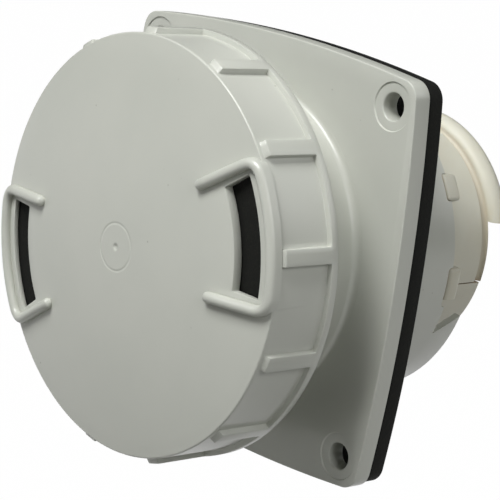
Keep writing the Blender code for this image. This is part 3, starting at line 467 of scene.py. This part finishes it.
def capProfile():
    face, back = cap["face"], cap["back"]
    floor = face + cap["discThickness"]
    lipFront = back - cap["lipThickness"]
    edge = cap["edgeRound"]
    radii = [*cap["innerRings"], cap["windowInner"], cap["windowRing"], cap["windowOuter"],
             cap["outerRing"]]
    front = [(radius, face - domeAt(radius) + depth) for radius, depth in cap["gateMark"]]
    front += [(radius, face - domeAt(radius)) for radius in radii[2:]]
    rounded = arcPoints((cap["outer"] - edge, face + edge), edge, -90, 0, 5)
    side = [(cap["outer"], face + cap["ribStart"]), (cap["outer"], lipFront),
            (cap["lip"], lipFront), (cap["lip"], back), (cap["bore"], back)]
    seat = cap["sealSeat"]
    inside = [(cap["bore"], seat)]
    inside += [(radius, min(floor - domeAt(radius), seat)) for radius in radii[-2::-1]]
    return front + rounded + side + inside


def cutWindows(obj, step):
    inner, outer = cap["windowInner"], cap["windowOuter"]
    half = cap["windowHalf"]
    discBack = cap["face"] + cap["discThickness"] + near
    for middle in (cap["windowAngle"], cap["windowAngle"] + 180):
        selectFaces(obj, lambda r, a, y: inner < r < outer and awayFrom(a, middle) < half
                    and y < discBack)
        bpy.ops.mesh.bridge_edge_loops()
        bpy.ops.object.mode_set(mode="OBJECT")
        # the grid's nearest steps are turned on to the window's true ends
        for vert in obj.data.vertices:
            r, a, y = polarPlace(vert.co)
            if not inner - near < r < outer + near or y > discBack:
                continue
            off = (a - middle + 180) % 360 - 180
            if abs(abs(off) - half) < step / 2 + 0.01:
                turn = math.radians(middle + math.copysign(half, off))
                vert.co.x = r * mm * math.cos(turn)
                vert.co.z = r * mm * math.sin(turn)


def addRibs(obj):
    face, lipFront = cap["face"], cap["back"] - cap["lipThickness"]
    pitch = 360 / cap["ribs"]
    half = pitch / cap["stepsPerPitch"] * cap["ribSteps"] / 2
    outer, lip = cap["outer"], cap["lip"]

    def inRib(a):
        return awayFrom((a - cap["ribAngle"]) % pitch, 0) < half or \
            awayFrom((a - cap["ribAngle"]) % pitch, pitch) < half

    pushOut(obj, lambda r, a, y: abs(r - outer) < near and inRib(a)
            and face + cap["ribStart"] < y < lipFront, lip / outer)
    # the rib runs into the lip, so the walls between them go
    selectFaces(obj, lambda r, a, y: outer < r < lip - near and inRib(a)
                and abs(y - lipFront) < near)
    bpy.ops.mesh.delete(type="FACE")
    bpy.ops.object.mode_set(mode="OBJECT")
    tidyMesh(obj)
    # the rib's front end slopes back
    selectVerts(obj, lambda r, a, y: r > lip - near and y < face + cap["ribStart"] + near)
    bpy.ops.transform.translate(value=(0, cap["ribSlope"] * mm, 0))
    bpy.ops.object.mode_set(mode="OBJECT")


def onCircle(radius, angle):
    return Vector((radius * math.cos(math.radians(angle)), radius * math.sin(math.radians(angle))))


def loopPath():
    # tip, arm, corner, half of the bar; the other half is its mirror image
    endAngle = cap["windowHalf"] + cap["loopMargin"]
    bar = cap["barRadius"]
    cornerSpot = onCircle(bar, endAngle)
    arm = -onCircle(1, cap["armSpread"])
    tip = cornerSpot + arm * cap["armLength"]
    before = cornerSpot + arm * cap["corner"]
    afterAngle = endAngle - math.degrees(cap["corner"] / bar)
    after = onCircle(bar, afterAngle)
    side = cap["loopWidth"] / 2
    tipSteps, armSteps, cornerSteps, barSteps = 6, 5, 10, 9
    spots = []
    for step in range(tipSteps):
        turn = math.radians(90 * step / tipSteps)
        spots.append((tip - arm * side * (1 - math.cos(turn)), max(math.sin(turn), cap["tipSize"])))
    for step in range(1, armSteps):
        spots.append((tip - arm * side + (before - tip + arm * side) * step / armSteps, 1.0))
    for step in range(cornerSteps + 1):
        t = step / cornerSteps
        spots.append((before * (1 - t) ** 2 + cornerSpot * 2 * t * (1 - t) + after * t ** 2, 1.0))
    for step in range(1, barSteps + 1):
        spots.append((onCircle(bar, afterAngle * (1 - step / barSteps)), 1.0))
    mirrored = [(Vector((spot.x, -spot.y)), size) for spot, size in reversed(spots[:-1])]
    return spots + mirrored


def makeLoop(middle):
    side = cap["loopWidth"] / 2
    crest = cap["loopHeight"] - side
    section = [(-side, -cap["loopDepth"])] + arcPoints((0, crest), side, 180, 0, 14)
    section += [(side, -cap["loopDepth"])]
    profile = drawOutline("loopSection", [(x, y, 0) for x, y in section], filled=True)
    bpy.ops.object.mode_set(mode="EDIT")
    bpy.ops.mesh.select_all(action="SELECT")
    bpy.ops.mesh.delete(type="ONLY_FACE")
    bpy.ops.object.mode_set(mode="OBJECT")
    bpy.ops.object.convert(target="CURVE")
    profile = bpy.context.object
    path = loopPath()
    ridge = drawOutline("handleLoop", [(spot.x, spot.y, 0) for spot, size in path])
    bpy.ops.object.convert(target="CURVE")
    ridge = bpy.context.object
    ridge.data.dimensions = "2D"
    ridge.data.bevel_mode = "OBJECT"
    ridge.data.bevel_object = profile
    ridge.data.use_fill_caps = True
    points = ridge.data.splines[0].points
    order = path if (points[0].co.xy - path[0][0] * mm).length < 0.1 * mm else path[::-1]
    for point, (spot, size) in zip(points, order):
        point.radius = size
    bpy.ops.object.convert(target="MESH")
    ridge = bpy.context.object
    bpy.data.objects.remove(profile)
    tidyMesh(ridge)
    ridge.rotation_euler.x = math.pi / 2
    ridge.location.y = cap["face"] * mm
    activate(ridge)
    bpy.ops.object.transform_apply(location=True, rotation=True, scale=True)
    for vert in ridge.data.vertices:
        radius = polarPlace(vert.co)[0]
        vert.co.y -= domeAt(min(radius, cap["outer"])) * mm
    turnAboutAxis(ridge, middle)
    return ridge


def ringSector(name, inner, outer, front, back, middle, half, lead, steps=12):
    # a block that follows the ring and climbs to the front by lead for each radian
    section = [(inner, front), (outer, front), (outer, back), (inner, back)]
    obj = drawOutline(name, onPlane(section), filled=True)
    bpy.ops.object.mode_set(mode="EDIT")
    for step in range(steps):
        bpy.ops.mesh.select_mode(type="FACE")
        bpy.ops.mesh.extrude_region_move(TRANSFORM_OT_translate={"value": (0, 0, 0)})
        bpy.ops.object.mode_set(mode="OBJECT")
        chosen = [vert for vert in obj.data.vertices if vert.select]
        turn = math.radians(2 * half / steps)
        for vert in chosen:
            x, z = vert.co.x, vert.co.z
            vert.co.x = x * math.cos(turn) - z * math.sin(turn)
            vert.co.z = x * math.sin(turn) + z * math.cos(turn)
            vert.co.y -= lead * mm * turn
        bpy.ops.object.mode_set(mode="EDIT")
    bpy.ops.object.mode_set(mode="OBJECT")
    activate(obj)
    bpy.ops.object.mode_set(mode="EDIT")
    bpy.ops.mesh.select_all(action="SELECT")
    bpy.ops.transform.translate(value=(0, lead * mm * math.radians(half), 0))
    bpy.ops.object.mode_set(mode="OBJECT")
    tidyMesh(obj)
    turnAboutAxis(obj, middle - half)
    return obj


def makeCap():
    steps = cap["ribs"] * cap["stepsPerPitch"]
    firstEdge = cap["ribAngle"] - 360 / steps * cap["ribSteps"] / 2
    obj = spinRound("protectiveCap", capProfile(), steps, firstEdge)
    cutWindows(obj, 360 / steps)
    addRibs(obj)
    softenEdges(obj, cap["edgeSoftness"], 2)
    for middle in (cap["windowAngle"], cap["windowAngle"] + 180):
        combine(obj, makeLoop(middle), "UNION")
        cam = ringSector("cam", cap["camInner"], cap["bore"] + cap["camRoot"], cap["camFront"],
                         cap["camFront"] + cap["camThickness"], middle, cap["camHalf"], cap["lead"])
        combine(obj, cam, "UNION")
    smoothShade(obj, 35)
    finishPiece(obj, "capBody", greyPolyamide, "cap", "protective_cap")


makeCap()


seal = {"inner": 38.5, "outer": 49.6, "front": -46.9, "back": -43.8, "softness": 0.25}


def makeSeal():
    profile = [(seal["inner"], seal["front"]), (seal["outer"], seal["front"]),
               (seal["outer"], seal["back"]), (seal["inner"], seal["back"])]
    obj = spinRound("capSeal", profile, 180, closed=True)
    softenEdges(obj, seal["softness"], 2)
    smoothShade(obj)
    finishPiece(obj, "sealRing", blackRubber, "seal", "cap_seal")


makeSeal()


housing = {
    "width": 110.0, "bow": 3.2, "cornerRadius": 5.0, "front": -9.2, "back": -4.0,
    "frontRound": 0.35, "boltOffset": 45.0, "boltHole": 3.4, "boltSeat": 5.9, "boltSeatDepth": 0.35,
    "seatSpread": 0.25, "holeRound": 0.35,
    "bore": 37.5, "collar": 41.0, "collarEdge": -43.5, "collarRound": 0.9,
    "footFillet": 1.6, "footStep": 0.03, "footBorder": 0.5, "overlap": 0.8, "skirtOverlap": 1.0,
    "skirtBore": 40.9, "skirt": 43.6, "skirtBack": 24.8,
    "chinBack": 33.8, "chinStep": 0.5, "chinRound": 0.5, "chinTop": -17.6, "chinRise": 5.3,
    "webFront": 0.5, "webBack": 4.5, "webBore": 31.5,
    "lugOuter": 47.4, "lugFront": -38.3, "lugThickness": 3.2, "lugHalf": 16.0,
    "keyWidth": 9.0, "keyDepth": 1.8, "keyLength": 36.0,
    "screwCircle": 34.9, "screwHole": 2.2,
}


def bowedSquare(width, bow, cornerRadius, sideSteps=24, cornerSteps=10):
    half = width / 2
    sideRadius = ((half - bow) ** 2 + bow ** 2) / (2 * bow)
    sideCentre = half - sideRadius
    reach = sideRadius - cornerRadius
    corner = (sideCentre + math.sqrt(2 * reach ** 2 - sideCentre ** 2)) / 2
    tangent = math.degrees(math.atan2(corner, corner - sideCentre))
    quarter = arcPoints((sideCentre, 0), sideRadius, -tangent, tangent, sideSteps)
    quarter += arcPoints((corner, corner), cornerRadius, tangent, 90 - tangent, cornerSteps)[1:-1]
    outline = []
    for turn in range(4):
        for x, z in quarter:
            for _ in range(turn):
                x, z = -z, x
            outline.append((x, z))
    return outline


def makePlate(name, width, bow, cornerRadius, front, back):
    outline = bowedSquare(width, bow, cornerRadius)
    obj = drawOutline(name, [(x, front, z) for x, z in outline], filled=True)
    thicken(obj, (0, back - front, 0))
    return obj


def boltSpots():
    offset = housing["boltOffset"]
    return [(x * offset, z * offset) for x in (-1, 1) for z in (-1, 1)]


def coreProfile():
    front, rim, overlap = housing["front"], housing["collarRound"], housing["overlap"]
    bore, collar, edge = housing["bore"], housing["collar"], housing["collarEdge"]
    profile = [(bore, edge + rim)] + arcPoints((bore + rim, edge + rim), rim, 180, 270, 4)[1:]
    profile += arcPoints((collar - rim, edge + rim), rim, -90, 0, 4)
    # the foot ends a hair in front of the flange, which keeps the flat face's shading apart
    fillet, foot = housing["footFillet"], front - housing["footStep"]
    profile += arcPoints((collar + fillet, foot - fillet), fillet, 180, 90, 9)
    border = collar + fillet + housing["footBorder"]
    profile += [(border, foot), (border, front + overlap)]
    skirt, skirtBack, step = housing["skirt"], housing["skirtBack"], housing["chinStep"]
    profile += [(skirt, housing["back"] - housing["skirtOverlap"]), (skirt, skirtBack),
                (skirt - step, skirtBack + step)]
    chinBack, chinRound = housing["chinBack"], housing["chinRound"]
    profile.append((skirt - step, chinBack - chinRound))
    profile += arcPoints((skirt - step - chinRound, chinBack - chinRound), chinRound, 0, 90, 3)[1:]
    profile += [(housing["skirtBore"], chinBack), (housing["skirtBore"], housing["webBack"])]
    profile += [(housing["webBore"], housing["webBack"]), (housing["webBore"], housing["webFront"])]
    profile += [(bore, housing["webFront"])]
    return profile


cover = {
    "base": 40.6, "baseWall": 2.3, "baseFront": 12.0, "shoulder": 26.0, "flare": 7.5,
    "outer": 32.5, "bore": 29.8, "back": 50.8, "endWall": 2.5,
    "grooveWidth": 2.6, "grooveDepth": 1.3, "rimLength": 6.5, "rimStep": 2.5, "rimCut": 10.0,
    "seam": -6.8, "seamGap": 0.15, "portRadius": 5.0, "pilotPort": 3.0, "portCircle": 22.0,
    "tabLength": 3.6, "tabWidth": 7.0, "tabThickness": 3.0,
    "upperTabs": (-5.0, 32.5, 147.5, 185.0), "lowerTabs": (-58.0, 238.0), "tabRound": 0.45,
    "hooks": ((30.5, 4.8), (-4.5, 7.2), (149.5, 4.8), (184.5, 7.2)),   # angle and half width
    "hookDepth": 1.2, "hookOuter": 44.2, "hookFront": 23.3, "hookBack": 28.0,
    "hookRound": 1.3, "hookGap": 0.12,
}


def makeHook(angle, half, gap):
    # the block of a snap tab that fills a notch of the skirt's rim
    half += math.degrees(gap / cover["hookOuter"])
    hook = ringSector("hook", cover["base"] - cover["hookDepth"], cover["hookOuter"] + gap,
                      cover["hookFront"] - gap, cover["hookBack"] + gap, angle, half, 0.0, 8)
    softenEdges(hook, cover["hookRound"], 4, 60)
    return hook


def makeHousing():
    obj = makePlate("flangeHousing", housing["width"], housing["bow"], housing["cornerRadius"],
                    housing["front"], housing["back"])
    softenEdges(obj, housing["frontRound"], 4)
    combine(obj, rod("flangeOpening", 0, 0, housing["bore"] + housing["overlap"], housing["front"] - 2,
                     housing["back"] + 2, 120), "DIFFERENCE")
    combine(obj, spinRound("core", coreProfile(), 216, closed=True), "UNION")
    for middle in (cap["windowAngle"], cap["windowAngle"] + 180):
        lug = ringSector("lug", housing["collar"] - housing["overlap"], housing["lugOuter"],
                         housing["lugFront"], housing["lugFront"] + housing["lugThickness"],
                         middle, housing["lugHalf"], cap["lead"])
        combine(obj, lug, "UNION")
    top, rise = housing["chinTop"], housing["chinRise"]
    skirtBack, chinBack = housing["skirtBack"], housing["chinBack"]
    beyond = chinBack + 1
    above = top + rise * (beyond - skirtBack) / (chinBack - skirtBack)
    trim = drawOutline("chinTrim", [(-farOut, skirtBack, top), (-farOut, beyond, above),
                                    (-farOut, beyond, farOut), (-farOut, skirtBack, farOut)],
                       filled=True)
    thicken(trim, (2 * farOut, 0, 0))
    combine(obj, trim, "DIFFERENCE")
    for x, z in boltSpots():
        combine(obj, boltCutter(x, z), "DIFFERENCE")
    for index in range(3):
        spot = onCircle(housing["screwCircle"], 90 + 120 * index)
        combine(obj, rod("webHole", spot.x, spot.y, housing["screwHole"], housing["webFront"] - 1,
                         housing["webBack"] + 1, 32), "DIFFERENCE")
    for angle, half in cover["hooks"]:
        combine(obj, makeHook(angle, half, cover["hookGap"]), "DIFFERENCE")
    keyHalf, edge, bore = housing["keyWidth"] / 2, housing["collarEdge"], housing["bore"]
    keyway = block("keyway", (-keyHalf, edge - 1, -bore - housing["keyDepth"]),
                   (keyHalf, edge + housing["keyLength"], -bore + 4))
    combine(obj, keyway, "DIFFERENCE")
    smoothShade(obj, 35)
    finishPiece(obj, "flangeHousing", greyPolyamide, "housing",
                "flange_plate", "flange_housing", "rear_skirt")


def boltCutter(x, z):
    # the hole and its shallow seat, with slightly rounded mouths
    front, back = housing["front"], housing["back"]
    hole, seatRadius = housing["boltHole"], housing["boltSeat"]
    floor = front + housing["boltSeatDepth"]
    mouth, seatMouth = housing["holeRound"], seatRadius + housing["seatSpread"]
    profile = [(0, front - 1), (seatMouth, front - 1), (seatMouth, front)]
    profile += [(seatRadius, floor)] + arcPoints((hole + mouth, floor + mouth), mouth, 270, 180, 4)
    profile += [(hole, back + 1), (0, back + 1)]
    cutter = spinRound("boltCutter", profile, 64)
    cutter.location = (x * mm, 0, z * mm)
    activate(cutter)
    bpy.ops.object.transform_apply(location=True, rotation=False, scale=False)
    return cutter


makeHousing()


gasket = {"inset": 0.4, "front": -3.7, "back": 1.2, "opening": 44.1, "hole": 3.4, "softness": 0.45}


def makeGasket():
    obj = makePlate("flangeGasket", housing["width"] - 2 * gasket["inset"], housing["bow"],
                    housing["cornerRadius"], gasket["front"], gasket["back"])
    softenEdges(obj, gasket["softness"], 3)
    combine(obj, rod("gasketOpening", 0, 0, gasket["opening"], gasket["front"] - 1,
                     gasket["back"] + 1, 180), "DIFFERENCE")
    for x, z in boltSpots():
        combine(obj, rod("gasketHole", x, z, gasket["hole"], gasket["front"] - 1,
                         gasket["back"] + 1, 48), "DIFFERENCE")
    smoothShade(obj, 40)
    finishPiece(obj, "gasketSheet", blackRubber, "housing", "flange_gasket")


makeGasket()


def coverProfile(withRim):
    base, wall, shoulder = cover["base"], cover["baseWall"], cover["shoulder"]
    flare, outer, bore, back = cover["flare"], cover["outer"], cover["bore"], cover["back"]
    profile = [(0, back - cover["endWall"]), (bore, back - cover["endWall"])]
    profile += [(bore, shoulder + flare - 1.3), (base - wall, shoulder - wall)]
    profile += [(base - wall, cover["baseFront"]), (base, cover["baseFront"]), (base, shoulder - 0.5)]
    profile += [(base - 0.15, shoulder - 0.15), (base - 0.5, shoulder)]
    width = base - 0.5 - outer
    for x, y in arcPoints((0, 0), 1, 270, 180, 9)[1:]:
        profile.append((base - 0.5 + width * x, shoulder + flare * (1 + y)))
    if not withRim:
        profile += [(outer, back - 0.6)] + arcPoints((outer - 0.6, back - 0.6), 0.6, 0, 90, 4)[1:]
        return profile + [(0, back)]
    groove = back - cover["grooveWidth"]
    for x, y in arcPoints((0, 0), 1, 180, 360, 8):
        profile.append((outer + cover["grooveDepth"] * y, groove + cover["grooveWidth"] / 2 * (1 + x)))
    bulge = cover["rimLength"] / 2
    for x, y in arcPoints((0, 0), 1, -90, 90, 12):
        profile.append((outer + cover["rimStep"] * x, back + bulge + bulge * y))
    profile += [(bore + 0.6, back + 2 * bulge), (bore, back + 2 * bulge - 0.6), (bore, back)]
    return profile + [(0, back)]


def makeTab(angle):
    half = math.degrees(cover["tabWidth"] / 2 / cover["base"])
    front = cover["shoulder"] - 0.8
    obj = ringSector("tab", cover["base"] - cover["tabThickness"], cover["base"], front,
                     front + 0.8 + cover["tabLength"], angle, half, 0.0, 6)
    softenEdges(obj, cover["tabRound"], 3, 60)
    return obj


def makeCover(name, node, tabAngles, keepAbove):
    obj = spinRound(name, coverProfile(keepAbove), 180)   # only the upper half has the thick rim
    if keepAbove:
        for angle, half in cover["hooks"]:
            combine(obj, makeHook(angle, half, 0), "UNION")
    for angle in tabAngles:
        combine(obj, makeTab(angle), "UNION")
    seam, gap = cover["seam"], cover["seamGap"]
    low, behind = -farOut, farOut + 20
    if keepAbove:
        combine(obj, block("belowSeam", (low, 0, low), (farOut, behind, seam + gap)), "DIFFERENCE")
        combine(obj, block("rimEnds", (low, cover["back"], low), (farOut, behind, cover["rimCut"])),
                "DIFFERENCE")
    else:
        combine(obj, block("aboveSeam", (low, 0, seam - gap), (farOut, behind, farOut)), "DIFFERENCE")
    portFront, portBack = cover["back"] - cover["endWall"] - 1, cover["back"] + 1
    for index in range(5):
        spot = onCircle(cover["portCircle"], -90 + 72 * index)
        combine(obj, rod("wirePort", spot.x, spot.y, cover["portRadius"], portFront, portBack, 48),
                "DIFFERENCE")
    if keepAbove:
        combine(obj, rod("pilotPort", 0, 0, cover["pilotPort"], portFront, portBack, 40), "DIFFERENCE")
    smoothShade(obj, 35)
    finishPiece(obj, name, naturalPolyamide, "housing", node)


makeCover("upperCover", "upper_terminal_cover", cover["upperTabs"], True)
makeCover("lowerCover", "lower_terminal_cover", cover["lowerTabs"], False)


keptLooks = {"natural_plastic": naturalPolyamide, "black_rubber": blackRubber, "brass": brass,
             "zinc_plated_steel": zincSteel, "light_grey_plastic": greyPolyamide}
for part in frame["record"]["subparts"]:
    node = frame["nodes"][part["node"]]
    node.data.materials.clear()
    node.data.materials.append(keptLooks[part["material_slot"]])
print("finishes set on the packed parts")


studio = {
    "floorHeight": -140, "floorSize": 12000, "floorColour": "#787874",
    "floorWhite": 0.985, "floorGlow": 1.01,
    "skyRise": (-0.1, 0.9), "skyLow": (0.01, 0.01, 0.01, 1), "skyHigh": (0.04, 0.04, 0.04, 1),
    "aim": (0, -20, 0),
    "lamps": {
        "topFrontLamp": {"place": (0, -560, 780), "power": 8.7, "size": 400, "tint": (1, 1, 1)},
        "frontLeftLamp": {"place": (-450, -760, 560), "power": 1.3, "size": 400, "tint": (1, 1, 1)},
        "rightLamp": {"place": (900, -200, 560), "power": 3.1, "size": 500, "tint": (1, 1, 1)},
        "rearLamp": {"place": (650, 600, 500), "power": 1.1, "size": 500, "tint": (1, 1, 1)},
    },
}


def makeFloor():
    deselectAll()
    bpy.ops.mesh.primitive_plane_add(size=studio["floorSize"] * mm,
                                     location=(0, 0, studio["floorHeight"] * mm))
    floor = bpy.context.object
    floor.name = "studioFloor"
    material = bpy.data.materials.new("paleFloor")
    tree = emptyTree(material)
    output = addNode(tree, "ShaderNodeOutputMaterial")
    matt = addNode(tree, "ShaderNodeBsdfDiffuse", {"Color": linearColour(studio["floorColour"])})
    white = addNode(tree, "ShaderNodeEmission", {"Color": (1, 1, 1, 1), "Strength": studio["floorGlow"]})
    rays = addNode(tree, "ShaderNodeLightPath")
    seen = addNode(tree, "ShaderNodeMath", {"operation": "MAXIMUM"},
                   {0: rays.outputs["Is Camera Ray"], 1: rays.outputs["Is Glossy Ray"]})
    share = addNode(tree, "ShaderNodeMath", {"operation": "MULTIPLY", 1: studio["floorWhite"]},
                    {0: seen.outputs[0]})
    mix = addNode(tree, "ShaderNodeMixShader", None,
                  {0: share.outputs[0], 1: matt.outputs[0], 2: white.outputs[0]})
    tree.links.new(mix.outputs[0], output.inputs["Surface"])
    floor.data.materials.append(material)


def makeWorld():
    world = bpy.data.worlds.new("studioWorld")
    bpy.context.scene.world = world
    tree = emptyTree(world)
    output = addNode(tree, "ShaderNodeOutputWorld")
    place = addNode(tree, "ShaderNodeTexCoord")
    parts = addNode(tree, "ShaderNodeSeparateXYZ", None, {0: place.outputs["Generated"]})
    height = addNode(tree, "ShaderNodeMapRange",
                     {"From Min": studio["skyRise"][0], "From Max": studio["skyRise"][1]},
                     {"Value": parts.outputs["Z"]})
    sky = addNode(tree, "ShaderNodeMix",
                  {"data_type": "RGBA", 6: studio["skyLow"], 7: studio["skyHigh"]},
                  {0: height.outputs["Result"]})
    dim = addNode(tree, "ShaderNodeBackground", {"Strength": 1.0}, {"Color": sky.outputs[2]})
    white = addNode(tree, "ShaderNodeBackground", {"Color": (1, 1, 1, 1), "Strength": 1.0})
    rays = addNode(tree, "ShaderNodeLightPath")
    mix = addNode(tree, "ShaderNodeMixShader", None,
                  {0: rays.outputs["Is Camera Ray"], 1: dim.outputs[0], 2: white.outputs[0]})
    tree.links.new(mix.outputs[0], output.inputs["Surface"])


def makeLamp(name, lamp):
    light = bpy.data.lights.new(name, "AREA")
    light.shape = "SQUARE"
    light.size = lamp["size"] * mm
    light.energy = lamp["power"]
    light.color = lamp["tint"]
    obj = bpy.data.objects.new(name, light)
    bpy.context.collection.objects.link(obj)
    obj.location = Vector(lamp["place"]) * mm
    aim = Vector(studio["aim"]) * mm - obj.location
    obj.rotation_euler = aim.to_track_quat("-Z", "Y").to_euler()


view = {
    "place": (364.0, -353.0, 113.5), "direction": (-0.7057, 0.6714, -0.2263),
    "roll": 8.14, "lens": 140.17,
}


def makeCamera():
    data = bpy.data.cameras.new("photoCamera")
    data.lens = view["lens"]
    data.sensor_width = 36
    data.clip_start = 0.01
    camera = bpy.data.objects.new("photoCamera", data)
    bpy.context.collection.objects.link(camera)
    ahead = Vector(view["direction"]).normalized()
    right = ahead.cross(Vector((0, 0, 1))).normalized()
    up = right.cross(ahead)
    roll = math.radians(view["roll"])
    # the object's upright leans to the right in the picture
    tiltedRight = right * math.cos(roll) + up * math.sin(roll)
    tiltedUp = up * math.cos(roll) - right * math.sin(roll)
    matrix = camera.matrix_world.to_3x3()
    matrix.col[0] = tiltedRight
    matrix.col[1] = tiltedUp
    matrix.col[2] = -ahead
    camera.matrix_world = matrix.to_4x4()
    camera.location = Vector(view["place"]) * mm
    bpy.context.scene.camera = camera


makeFloor()
makeWorld()
for lampName, lamp in studio["lamps"].items():
    makeLamp(lampName, lamp)
makeCamera()
bpy.context.scene.view_settings.view_transform = "Standard"
print("floor, light and camera set")
